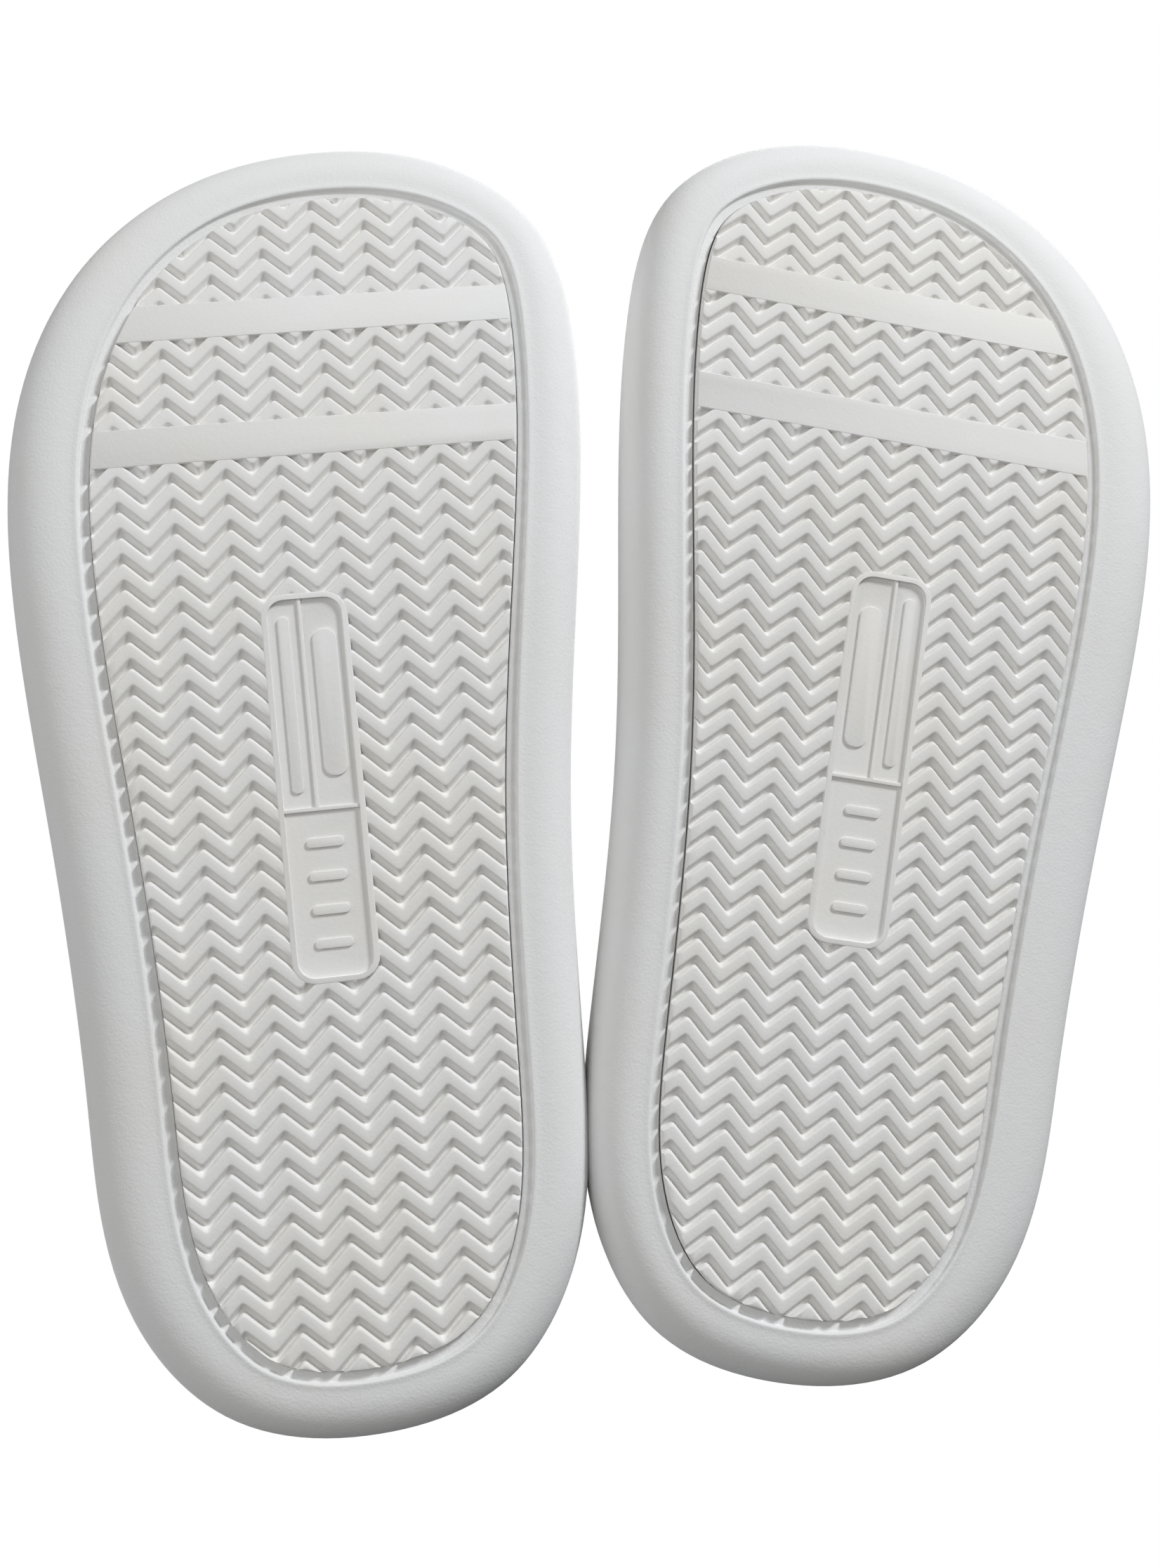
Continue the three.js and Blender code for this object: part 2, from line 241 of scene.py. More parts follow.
def closed_spline(points, per_span):
    """Points and directions along a smooth closed curve through the given points."""
    ahead = np.roll(points, -1, axis=0)
    step = np.linalg.norm(ahead - points, axis=1)
    before = np.roll(step, 1)
    rise = (ahead - points) / step[:, None]
    count = len(points)
    system = np.zeros((count, count))
    for i in range(count):
        system[i, i] = 2 * (before[i] + step[i])
        system[i, i - 1] = step[i]
        system[i, (i + 1) % count] = before[i]
    pull = 3 * (step[:, None] * np.roll(rise, 1, axis=0) + before[:, None] * rise)
    slope = np.linalg.solve(system, pull)
    places, headings = [], []
    for i in range(count):
        j = (i + 1) % count
        for s in np.arange(per_span) / per_span:
            places.append(
                (2 * s**3 - 3 * s**2 + 1) * points[i]
                + (s**3 - 2 * s**2 + s) * step[i] * slope[i]
                + (3 * s**2 - 2 * s**3) * points[j]
                + (s**3 - s**2) * step[i] * slope[j]
            )
            headings.append(
                (6 * s**2 - 6 * s) * (points[i] - points[j]) / step[i]
                + (3 * s**2 - 4 * s + 1) * slope[i]
                + (3 * s**2 - 2 * s) * slope[j]
            )
    headings = np.array(headings)
    headings /= np.linalg.norm(headings, axis=1)[:, None]
    return np.array(places), headings


PLACES, HEADINGS = closed_spline(
    np.array([(side * WIDTH, along * LENGTH) for along, side in OUTLINE]), POINTS_PER_SPAN
)
INWARDS = np.stack([-HEADINGS[:, 1], HEADINGS[:, 0]], axis=1)
# Width of the rim at each point of the contour.
RIM = (
    np.where(HEADINGS[:, 1] > 0, RIM_OUTER_SIDE, RIM_INNER_SIDE) * HEADINGS[:, 1] ** 2
    + np.where(HEADINGS[:, 0] > 0, RIM_HEEL, RIM_TOE) * HEADINGS[:, 0] ** 2
)


def inset(distance, z):
    """A ring at a distance inside the contour."""
    flat = PLACES + INWARDS * np.reshape(distance, (-1, 1))
    return np.column_stack([flat, np.full(len(flat), z)])


def panel(outwards, z):
    """A ring at a distance outside the edge of the tread panel."""
    return inset(RIM - outwards, z)


def towards(ring, part, z):
    """A ring a part of the way from the middle of the sole to another ring."""
    flat = MIDDLE + (ring[:, :2] - MIDDLE) * part
    return np.column_stack([flat, np.full(len(flat), z)])


def half_width(along, outer):
    """Half-width of the sole at a distance from the heel, on its outer or inner side."""
    half = PLACES[PLACES[:, 0] > 0] if outer else PLACES[PLACES[:, 0] < 0]
    order = np.argsort(half[:, 1])
    return float(np.interp(along, half[order, 1], np.abs(half[order, 0])))


def toe_lift(along):
    """Height of the underside above the ground, at a distance from the heel."""
    past = max(0.0, along - SPRING_FROM)
    return SPRING_SLOPE * past * past / (2 * (LENGTH - SPRING_FROM))


def settled(along, height):
    """Height of a point of the sole after thinning and toe spring."""
    t = min(1.0, max(0.0, (along - THINNING_FROM) / (THINNING_TO - THINNING_FROM)))
    thinned = 1 - THINNING * t * t * (3 - 2 * t)
    above = max(0.0, height - UNTHINNED_HEIGHT)
    return min(height, UNTHINNED_HEIGHT) + above * thinned + toe_lift(along)


# ---- Mesh helpers ----

def follow(verts, ring):
    """Moves a loop of vertices onto a ring of points given as (side, along, height)."""
    for vert, (x, along, z) in zip(verts, ring):
        vert.co = (x, -along, z)


def unique(items):
    """The items without repeats, in the order that they come in."""
    return list(dict.fromkeys(items))


def open_edges(verts):
    """The edges of these vertices that have a face on one side only."""
    return unique(edge for vert in verts for edge in vert.link_edges if edge.is_boundary)


def lofted(rings, pointed=True):
    """A closed body through rings of points, whose ends are drawn in to a point or capped."""
    bm = bmesh.new()
    loop = bmesh.ops.create_circle(bm, segments=len(rings[0]), radius=1)["verts"]
    follow(loop, rings[0])
    first = list(loop)
    edges = list(bm.edges)
    for ring in rings[1:]:
        grown = bmesh.ops.extrude_edge_only(bm, edges=edges)["geom"]
        twins = {tuple(v.co): v for v in grown if isinstance(v, bmesh.types.BMVert)}
        loop = [twins[tuple(vert.co)] for vert in loop]
        follow(loop, ring)
        edges = open_edges(loop)
    for end in (first, loop):
        centre = sum((vert.co for vert in end), Vector()) / len(end)
        if pointed:
            bmesh.ops.pointmerge(bm, verts=end, merge_co=centre)
        else:
            bmesh.ops.contextual_create(bm, geom=open_edges(end))
    bmesh.ops.recalc_face_normals(bm, faces=bm.faces)
    return bm


def settle(bm):
    """Bends a shape drawn flat, so that it follows the sole."""
    for vert in bm.verts:
        vert.co.z = settled(-vert.co.y, vert.co.z)


def block(centre, size, low, high, corner, edge):
    """An upright block with rounded corners, and rounded or plain edges round both ends."""
    bm = bmesh.new()
    bmesh.ops.create_cube(bm, size=1)
    bmesh.ops.scale(bm, vec=(size[0], size[1], high - low), verts=bm.verts)
    place = Vector((centre[0], -centre[1], (low + high) / 2))
    bmesh.ops.translate(bm, vec=place, verts=bm.verts)
    upright = [e for e in bm.edges if abs(e.verts[0].co.z - e.verts[1].co.z) > 1e-6]
    if corner:
        bmesh.ops.bevel(
            bm, geom=upright, offset=corner, segments=6, profile=0.5, affect="EDGES", material=-1
        )
    if edge:
        ends = [f for f in bm.faces if abs(f.normal.z) > 0.9]
        around = unique(e for f in ends for e in f.edges)
        bmesh.ops.bevel(
            bm, geom=around, offset=edge, segments=3, profile=0.5, affect="EDGES", material=-1
        )
    return bm


def to_object(bm, name):
    """Makes an object of a bmesh, and frees it."""
    mesh = bpy.data.meshes.new(name)
    bm.to_mesh(mesh)
    bm.free()
    made = bpy.data.objects.new(name, mesh)
    bpy.context.scene.collection.objects.link(made)
    return made


def combined(bm, other, operation):
    """One closed body joined with, cut by or limited to another."""
    base = to_object(bm, "base")
    tool = to_object(other, "tool")
    cut = base.modifiers.new("cut", "BOOLEAN")
    cut.object = tool
    cut.operation = operation
    cut.solver = "MANIFOLD"
    bpy.context.view_layer.update()
    shape = base.evaluated_get(bpy.context.evaluated_depsgraph_get())
    result = bmesh.new()
    result.from_mesh(shape.to_mesh())
    shape.to_mesh_clear()
    for spent in (base, tool):
        mesh = spent.data
        bpy.data.objects.remove(spent)
        bpy.data.meshes.remove(mesh)
    if not result.faces:
        raise RuntimeError(f"nothing is left after {operation}")
    return result


def foot_matrix(side):
    """Takes millimetres in a slipper's own frame to metres in the pair's."""
    joint = next(j for j in frame["joints"] if j["name"] == f"{side}_toe_flex")
    across = -Vector(joint["axis"]).normalized()
    back = Vector((0, 0, 1)).cross(across)
    heel = Vector(joint["pos_m"]) + back * FLEX_LINE * MM
    outwards = across if side == "left" else -across
    turn = Matrix((outwards, back, (0, 0, 1))).transposed().to_4x4()
    return Matrix.Translation((heel.x, heel.y, 0)) @ turn @ Matrix.Scale(MM, 4)


def pair_of(bm, name, material, nodes, smooth_below=40):
    """Both feet's copies of a piece, each standing for the CAD nodes that it covers."""
    made = []
    for side in SIDES:
        copy = bm.copy()
        bmesh.ops.transform(copy, matrix=foot_matrix(side), verts=copy.verts)
        bmesh.ops.recalc_face_normals(copy, faces=copy.faces)
        piece = to_object(copy, f"{side}_{name}_shape")
        piece.data.materials.append(material)
        piece.data.shade_smooth()
        piece.data.set_sharp_from_angle(angle=math.radians(smooth_below))
        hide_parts(*[f"{side}_{node}" for node in nodes])
        made.append((side, piece))
    bm.free()
    return made


def bend_with_toe(pairs):
    """Bakes each piece's placement into its own mesh."""
    for side, piece in pairs:
        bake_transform(piece)


def arch_points(reach, foot, top, count=61):
    """Points (side, height) over an arch: half an ellipse that stands at the strap's seat, cut
    short where the feet are higher, and run on down where they are lower."""
    rise = top - STRAP_SEAT
    start = math.asin(max(0, foot - STRAP_SEAT) / rise)
    points = []
    for angle in np.linspace(start, math.pi - start, count):
        points.append((reach * math.cos(angle), STRAP_SEAT + rise * math.sin(angle)))
    below = [height for height in (foot, (foot + STRAP_SEAT) / 2) if height < STRAP_SEAT - 0.1]
    down = [(reach, height) for height in below]
    return down + points + [(-x, height) for x, height in reversed(down)]


def band_section(length, thickness, crown, count=56):
    """Points (along, outwards) round a strap's section: a soft-edged slab, fuller outside."""
    points = []
    for k in range(count):
        angle = 2 * math.pi * k / count
        c, s = math.cos(angle), math.sin(angle)
        u = math.copysign(abs(c) ** (2 / STRAP_EDGE_FULLNESS), c)
        v = math.copysign(abs(s) ** (2 / STRAP_FACE_FULLNESS), s)
        swell = crown * (1 - u * u) if s > 0 else 0
        points.append((u * length / 2, v * thickness / 2 + swell))
    return points


def arched_band(reach, foot, top, thickness, length, waist, crown):
    """A strap over the foot: its section carried along an arch that follows the sole's sides."""
    middle = (STRAP_BACK + STRAP_FRONT) / 2
    path = np.array(arch_points(reach, foot, top))
    heading = np.gradient(path, axis=0)
    heading /= np.linalg.norm(heading, axis=1)[:, None]
    outwards = np.stack([heading[:, 1], -heading[:, 0]], axis=1)
    base_reach = half_width(STRAP_BACK, True)
    rings = []
    for (x, z), (ox, oz) in zip(path, outwards):
        rise = max(0.0, (z - STRAP_SEAT) / (top - STRAP_SEAT)) ** 2
        section = band_section(length - 2 * waist * rise, thickness, crown * rise)
        ring = []
        for along, out in section:
            place = middle + along
            px, pz = x + ox * out, z + oz * out
            spread = half_width(place, px > 0) - base_reach
            ring.append((px + spread * px / base_reach, place, pz))
        rings.append(ring)
    bm = lofted(rings, pointed=False)
    settle(bm)
    return bm


# ---- Materials ----

# Places of the colour mixer's sockets.
MIX_FACTOR, MIX_A, MIX_B, MIX_RESULT = 0, 6, 7, 2
GRAIN_DEPTH = 0.3 * MM
# How the tone shifts where the foam is handled, as gains on red, green and blue.
FOAM_WARMTH = (0.985, 0.98, 0.965)
TREAD_WARMTH = (0.99, 0.975, 0.945)
SPECK_WARMTH = (0.93, 0.92, 0.90)


class Wire:
    """A node's output that can stand in a sum."""

    def __init__(self, recipe, socket):
        self.recipe = recipe
        self.socket = socket

    def sum(self, operation, first, second):
        node = self.recipe.add(
            "ShaderNodeMath", {"operation": operation}, {0: first, 1: second}
        )
        return self.recipe.out(node)

    def __add__(self, other):
        return self.sum("ADD", self, other)

    def __mul__(self, other):
        return self.sum("MULTIPLY", self, other)

    def __sub__(self, other):
        return self.sum("SUBTRACT", self, other)

    def __rsub__(self, other):
        return self.sum("SUBTRACT", other, self)

    __radd__ = __add__
    __rmul__ = __mul__


class Recipe:
    """A material's nodes."""

    def __init__(self, name):
        self.material = bpy.data.materials.new(name)
        self.material.use_nodes = True
        self.tree = self.material.node_tree
        self.tree.nodes.clear()

    def add(self, kind, settings=None, inputs=None):
        node = self.tree.nodes.new(kind)
        for name, value in (settings or {}).items():
            setattr(node, name, value)
        for name, value in (inputs or {}).items():
            if isinstance(value, Wire):
                self.tree.links.new(value.socket, node.inputs[name])
            else:
                node.inputs[name].default_value = value
        return node

    def out(self, node, name=0):
        return Wire(self, node.outputs[name])

    def place(self):
        return self.out(self.add("ShaderNodeTexCoord"), "Object")

    def noise(self, scale, detail=2.0, roughness=0.5):
        node = self.add(
            "ShaderNodeTexNoise", None,
            {"Vector": self.place(), "Scale": scale, "Detail": detail, "Roughness": roughness},
        )
        return self.out(node, "Fac")

    def between(self, value, low, high):
        """0 below low, 1 above high, and smooth in between."""
        node = self.add(
            "ShaderNodeMapRange", {"interpolation_type": "SMOOTHSTEP"},
            {"Value": value, "From Min": low, "From Max": high},
        )
        return self.out(node)

    def blend(self, factor, first, second):
        node = self.add(
            "ShaderNodeMix", {"data_type": "RGBA"},
            {MIX_FACTOR: factor, MIX_A: first, MIX_B: second},
        )
        return self.out(node, MIX_RESULT)

    def bump(self, height, strength, distance):
        node = self.add(
            "ShaderNodeBump", None,
            {"Height": height, "Strength": strength, "Distance": distance},
        )
        return self.out(node)

    def surface(self, inputs):
        shader = self.add("ShaderNodeBsdfPrincipled", None, inputs)
        self.add("ShaderNodeOutputMaterial", None, {"Surface": self.out(shader)})
        return self.material


def tinted(colour, gain):
    """A colour with a gain on each of its channels, opaque."""
    return (*[min(1.0, c * g) for c, g in zip(colour, gain)], 1.0)


def foam_material(name, colour, warmth, grain_scale, grain, pebbles=0.0):
    """Moulded foam: a fine grain, a faint mottle, and a warmer tone where it is handled."""
    foam = bpy.context.scene.slides_foam
    recipe = Recipe(name)
    mottle = recipe.between(recipe.noise(22, 4, 0.6), 0.35, 0.7)
    tone = recipe.blend(mottle, tinted(colour, (1, 1, 1)), tinted(colour, warmth))
    specks = recipe.between(recipe.noise(900, 1, 0.5), 0.70, 0.80)
    tone = recipe.blend(specks * 0.25, tone, tinted(colour, SPECK_WARMTH))
    fine = recipe.noise(grain_scale, 3, 0.65)
    coarse = recipe.noise(grain_scale / 5, 2, 0.5)
    height = fine * 0.6 + coarse * 0.4
    if pebbles:
        cells = recipe.add(
            "ShaderNodeTexVoronoi", {"feature": "SMOOTH_F1"},
            {"Vector": recipe.place(), "Scale": pebbles, "Smoothness": 0.6},
        )
        height = height * 0.4 + (1 - recipe.out(cells, "Distance"))
    return recipe.surface({
        "Base Color": tone,
        "Roughness": foam.roughness - 0.05 + mottle * 0.08 + fine * 0.04,
        "Specular IOR Level": 0.25,
        "Normal": recipe.bump(height, grain, GRAIN_DEPTH),
    })


def sole_foam():
    foam = bpy.context.scene.slides_foam
    return foam_material("slide_foam", foam.foam_colour, FOAM_WARMTH, 1500, foam.grain)


# ---- Operators ----

class SLIDES_OT_midsoles(bpy.types.Operator):
    """Build both midsoles: a thick rounded foam rim around the tread and the footbed"""

    bl_idname = "slides.midsoles"
    bl_label = "Midsoles"

    # The rim's two rounded edges: rings in each, and how full each is, where 2 is an ellipse.
    edge_steps = 14
    lower_fullness = 2.1
    upper_fullness = 2.2

    def execute(self, context):
        wall = BED_INSET - BED_GAP
        ceiling = panel(0.25, CEILING)
        bed = inset(wall, BED_UNDERSIDE - BED_GAP)
        rings = [towards(ceiling, part, CEILING) for part in (0.02, 0.25, 0.5, 0.75)]
        rings.append(ceiling)
        # The channel beside the panel, then a small bead along its lip.
        for outwards, height in (
            (0.25, 2.7), (0.4, 2.1), (0.8, 1.85), (1.9, 1.8), (2.3, 1.7), (2.46, 1.45), (2.54, 1.0),
            (2.62, 0.76), (2.85, 0.6), (3.2, 0.58), (3.7, 0.72), (4.6, 0.8),
        ):
            rings.append(panel(outwards, height))
        lower = RIM - CHANNEL_WIDTH - FLAT_LIP
        upper = np.full(len(RIM), CREST_ROUNDING)
        rings += self.rim_edge(lower, self.lower_fullness, RIM_UNDERSIDE, True)
        rings += self.rim_edge(upper, self.upper_fullness, RIM_CREST, False)
        # The crest's rounded inner edge, down to the wall round the footbed.
        for left, drop in ((4.0, 0.03), (2.4, 0.25), (1.2, 0.8), (0.4, 1.7), (0.08, 2.8)):
            rings.append(inset(wall - left, RIM_CREST - drop))
        rings.append(inset(wall, RIM_CREST - 5))
        rings.append(bed)
        rings += [towards(bed, part, BED_UNDERSIDE - BED_GAP) for part in (0.75, 0.5, 0.25, 0.02)]
        bm = lofted(rings)
        settle(bm)
        bend_with_toe(pair_of(bm, "midsole", sole_foam(), ("midsole_rear", "midsole_toe")))
        return {"FINISHED"}

    def rim_edge(self, depth, fullness, level, from_level):
        """Rings of a rounded edge between a level and the bulge, which it meets at the contour."""
        rings = []
        for step in range(self.edge_steps + 1):
            angle = (math.pi / 2) * step / self.edge_steps
            if not from_level:
                angle = math.pi / 2 - angle
            near = math.sin(angle) ** (2 / fullness)
            away = math.cos(angle) ** (2 / fullness)
            height = BULGE_HEIGHT + (level - BULGE_HEIGHT) * away
            rings.append(inset(depth * (1 - near), height))
        return rings if from_level else rings[1:]


class SLIDES_OT_treads(bpy.types.Operator):
    """Build both tread panels: chevron grooves, two smooth bands and a recessed plate"""

    bl_idname = "slides.treads"
    bl_label = "Treads"

    # A groove's section over one pitch, towards the toe: share of the pitch, share of the depth.
    section = (
        (0.0, 0.02), (0.04, 0.0), (0.25, 0.0), (0.44, 0.0), (0.49, 0.03), (0.53, 0.13),
        (0.57, 0.36), (0.63, 0.88), (0.66, 0.98), (0.71, 1.0), (0.75, 0.93), (0.80, 0.76),
        (0.91, 0.24), (0.96, 0.07),
    )
    # Columns of the grid from a peak of the zig-zag to its next valley, as shares of that way.
    steps = (0.0, 0.05, 0.12, 0.5, 0.88, 0.95, 1.0)
    # A height inside the slab, above everything that is cut or raised on its underside.
    through = 10

    def execute(self, context):
        foam = context.scene.slides_foam
        bm = self.relief(context.scene.slides_tread)
        for place in (FLEX_LINE, FLEX_LINE + BAND_SPACING):
            band = block((0, place), (2 * WIDTH, BAND_WIDTH), 0, self.through, 0, 0.25)
            bm = combined(bm, band, "UNION")
        bm = self.with_plate(bm)
        bm = combined(bm, self.outline(), "INTERSECT")
        settle(bm)
        material = foam_material(
            "slide_tread", foam.tread_colour, TREAD_WARMTH, 1100, 0.6 * foam.grain
        )
        pairs = pair_of(bm, "tread", material, ("tread_rear", "tread_toe"), 38)
        bend_with_toe(pairs)
        return {"FINISHED"}

    def relief(self, tread):
        """A slab whose underside is the chevron pattern."""
        row_pitch, half_pitch = tread.row_pitch / MM, tread.column_pitch / MM / 2
        depth = tread.groove_depth / MM
        turns = math.ceil(WIDTH / 2 / half_pitch)
        across = []
        for turn in range(-turns, turns):
            for step in self.steps[:-1]:
                share = step if turn % 2 == 0 else 1 - step
                across.append(((turn + step) * half_pitch, self.zigzag(share) * half_pitch))
        rows = []
        last = math.ceil((LENGTH + TREAD_PAST_TOE) / row_pitch)
        for row in range(int(TREAD_FROM / row_pitch), last):
            rows += [((row + share) * row_pitch, part) for share, part in self.section]
        bm = bmesh.new()
        grid = bmesh.ops.create_grid(
            bm, x_segments=len(across) - 1, y_segments=len(rows) - 1, size=1
        )["verts"]
        for vert in grid:
            x, back = across[round((vert.co.x + 1) / 2 * (len(across) - 1))]
            along, cut = rows[round((vert.co.y + 1) / 2 * (len(rows) - 1))]
            vert.co = (x, tread.lean * back - along, LAND_HEIGHT + depth * cut)
        edges = [edge for edge in bm.edges if edge.is_boundary]
        grown = bmesh.ops.extrude_edge_only(bm, edges=edges)["geom"]
        top = [v for v in grown if isinstance(v, bmesh.types.BMVert)]
        for vert in top:
            vert.co.z = 2 * self.through
        bmesh.ops.edgeloop_fill(bm, edges=open_edges(top))
        bmesh.ops.recalc_face_normals(bm, faces=bm.faces)
        return bm

    def zigzag(self, share, soft=0.12):
        """How far back the zig-zag is, between a peak at 0 and a valley at 1, both softened."""
        if share < soft:
            return (share * share / soft + soft) / 2
        if share > 1 - soft:
            return 1 - self.zigzag(1 - share, soft)
        return share

    def with_plate(self, bm):
        """A recessed plate with a thin border, dividers and plain raised bars."""
        centre = (PLATE_SHIFT, PLATE_MIDDLE)
        border_size = (PLATE_WIDTH + 2 * PLATE_BORDER, PLATE_LENGTH + 2 * PLATE_BORDER)
        rim = block(centre, border_size, 0, self.through, PLATE_CORNER + PLATE_BORDER, 0.3)
        bm = combined(bm, rim, "UNION")
        reach = self.through / 2
        plate_size = (PLATE_WIDTH, PLATE_LENGTH)
        pocket = block(centre, plate_size, -reach, PLATE_RECESS, PLATE_CORNER, 0.25)
        bm = combined(bm, pocket, "DIFFERENCE")
        split = PLATE_MIDDLE - 0.06 * PLATE_LENGTH
        toe_end = PLATE_MIDDLE + PLATE_LENGTH / 2
        heel_end = PLATE_MIDDLE - PLATE_LENGTH / 2
        toe_part = (split + toe_end) / 2
        # Place, size and lower face of each divider and bar.
        marks = [
            ((PLATE_SHIFT, split), (PLATE_WIDTH + 0.5, 0.9), DIVIDER_LEVEL),
            ((PLATE_SHIFT + 1, toe_part), (0.8, toe_end - split + 0.5), DIVIDER_LEVEL),
            ((PLATE_SHIFT - 4, toe_part), (5.4, 0.7 * (toe_end - split)), BAR_LEVEL),
            ((PLATE_SHIFT + 4.9, toe_part), (2.6, 0.84 * (toe_end - split)), BAR_LEVEL),
        ]
        for share in (0.2, 0.4, 0.6, 0.8):
            place = heel_end + share * (split - heel_end)
            marks.append(((PLATE_SHIFT, place), (8.4, 2.2), BAR_LEVEL))
        for place, size, low in marks:
            corner = 0.45 * min(size)
            bm = combined(bm, block(place, size, low, reach, corner, 0.15), "UNION")
        return bm

    def flash(self):
        """How far the moulding's thin flash stands out, ragged round the heel and nil elsewhere."""
        turn = np.linspace(0, 2 * math.pi, len(PLACES), endpoint=False)
        ragged = np.sin(61 * turn) + np.sin(97 * turn + 1) + np.sin(23 * turn + 2)
        near_heel = np.clip(1 - PLACES[:, 1] / FLASH_REACH, 0, 1)
        return FLASH_WIDTH * near_heel * (ragged + 2)

    def outline(self):
        """The space inside the panel's edge, with a rounded lower edge."""
        below = -0.8
        foot = panel(-1.5, below)
        back = panel(0, TREAD_THICKNESS)
        rings = [towards(foot, part, below) for part in (0.02, 0.5)]
        rings.append(foot)
        for outwards, height in ((-0.9, -0.25), (-0.45, 0.1), (-0.15, 0.5), (0, 1.1)):
            rings.append(panel(outwards + self.flash() * (height > 0), height))
        rings.append(back)
        for part in (*np.linspace(0.9, 0.1, 9), 0.02):
            rings.append(towards(back, part, TREAD_THICKNESS))
        return lofted(rings)


class SLIDES_OT_footbeds(bpy.types.Operator):
    """Build both footbeds: a dished bed with shallow grooves across it"""

    bl_idname = "slides.footbeds"
    bl_label = "Footbeds"

    # The grooves: where each zone starts and how many it has, how far they keep from the
    # sole's sides, how far they run out towards their ends, and how much they bow.
    pitch = 7.5
    depth = 1.2
    zones = ((22, 9), (196, 10))
    margin = 33
    run_out = 7
    bow = 0.004

    def execute(self, context):
        foam = context.scene.slides_foam
        underside = inset(BED_INSET, BED_UNDERSIDE)
        rings = [towards(underside, part, BED_UNDERSIDE) for part in (0.02, 0.3, 0.6, 0.85)]
        rings += [underside, inset(BED_INSET, BED_EDGE - 1.6)]
        for distance, height in ((0.12, 0.9), (0.45, 0.4), (1.0, 0.1), (1.6, 0.05)):
            rings.append(inset(BED_INSET + distance, BED_EDGE - height))
        for part in np.linspace(0.1, 1, 12):
            height = BED_FLAT + (BED_EDGE - BED_FLAT) * (1 - part) ** 2
            rings.append(inset(BED_INSET + BED_LIP + part * BED_SLOPE, height))
        last = rings[-1]
        for part in np.linspace(1, 0.01, 112)[1:]:
            height = BED_MIDDLE + (BED_FLAT - BED_MIDDLE) * part**3
            rings.append(towards(last, part, height))
        bm = lofted(rings)
        self.groove(bm)
        settle(bm)
        material = foam_material(
            "slide_footbed", foam.foam_colour, FOAM_WARMTH, 1300, 0.5, pebbles=520
        )
        pairs = pair_of(bm, "footbed", material, ("footbed_rear", "footbed_toe"))
        bend_with_toe(pairs)
        return {"FINISHED"}

    def groove(self, bm):
        """Shallow curved grooves across the heel and across the ball of the foot."""
        bed = [f for f in bm.faces if all(BED_MIDDLE - 1 < v.co.z < BED_FLAT for v in f.verts)]
        edges = unique(edge for face in bed for edge in face.edges)
        bmesh.ops.subdivide_edges(bm, edges=edges, cuts=1, use_grid_fill=True)
        for vert in bm.verts:
            if vert.co.z < BED_MIDDLE - 1:
                continue
            x, along = vert.co.x, -vert.co.y
            bowed = along + self.bow * x * x
            inner, outer = half_width(along, False), half_width(along, True)
            middle = (outer - inner) / 2
            sideways = (outer + inner) / 2 - self.margin - abs(x - middle)
            if sideways <= 0:
                continue
            fade = min(1.0, sideways / self.run_out) ** 2
            for start, count in self.zones:
                turns = (bowed - start) / self.pitch
                if 0 < turns < count:
                    cut = max(0.0, -math.cos(2 * math.pi * turns))
                    vert.co.z -= self.depth * fade * cut**2


class SLIDES_OT_straps(bpy.types.Operator):
    """Build both straps, which arch over the foot and run into the rim"""

    bl_idname = "slides.straps"
    bl_label = "Straps"

    def execute(self, context):
        strap = context.scene.slides_strap
        thickness = strap.thickness / MM
        reach = half_width(STRAP_BACK, True) - STRAP_INSET - thickness / 2
        top = STRAP_TOP - STRAP_CROWN - thickness / 2
        bm = arched_band(
            reach, STRAP_FOOT, top, thickness, STRAP_LENGTH, strap.waist / MM, STRAP_CROWN
        )
        for side, piece in pair_of(bm, "strap", sole_foam(), ("strap",), 60):
            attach(piece, f"{side}_slipper")
        return {"FINISHED"}


class SLIDES_OT_linings(bpy.types.Operator):
    """Build the soft linings under both straps"""

    bl_idname = "slides.linings"
    bl_label = "Strap linings"

    def execute(self, context):
        strap = context.scene.slides_strap
        foam = context.scene.slides_foam
        thickness = strap.lining_thickness / MM
        below = strap.thickness / MM + LINING_GAP + thickness / 2
        reach = half_width(STRAP_BACK, True) - STRAP_INSET - below
        top = STRAP_TOP - STRAP_CROWN - below
        length = STRAP_LENGTH - 2 * LINING_MARGIN
        bm = arched_band(reach, LINING_FOOT, top, thickness, length, strap.waist / MM, 0)
        material = foam_material(
            "slide_lining", foam.lining_colour, FOAM_WARMTH, 1700, 0.6, pebbles=900
        )
        for side, piece in pair_of(bm, "strap_lining", material, ("strap_lining",), 60):
            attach(piece, f"{side}_slipper")
        return {"FINISHED"}


